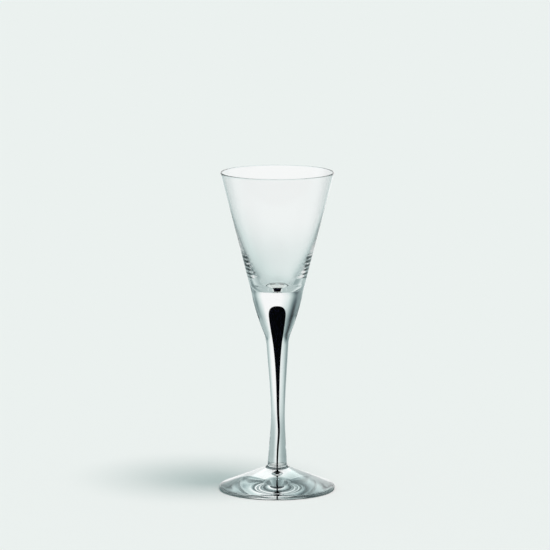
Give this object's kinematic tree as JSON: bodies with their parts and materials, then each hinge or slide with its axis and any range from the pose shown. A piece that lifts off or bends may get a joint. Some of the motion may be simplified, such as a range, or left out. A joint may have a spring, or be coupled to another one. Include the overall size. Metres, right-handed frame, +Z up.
{
  "type": "schnapps glass",
  "caption": "Tall stemmed schnapps glass: cone-shaped clear bowl on a drawn stem that holds a black teardrop and its thread, above a low conical foot.",
  "frame": {"origin": "centre of the circle that the glass stands on", "axes": "+Z up along the axis of the stem and bowl; the front faces -Y, and +X is to the right seen from the front, the side to which the black thread bows"},
  "size_m": [0.0614, 0.0614, 0.1704],
  "materials": {
    "clear_glass": "fire-polished",
    "black_glass": "smooth, sealed inside clear glass"
  },
  "bodies": {
    "root": {"foot": "clear_glass", "stem": "clear_glass", "bowl": "clear_glass", "black_drop": "black_glass"}
  },
  "joints": []
}
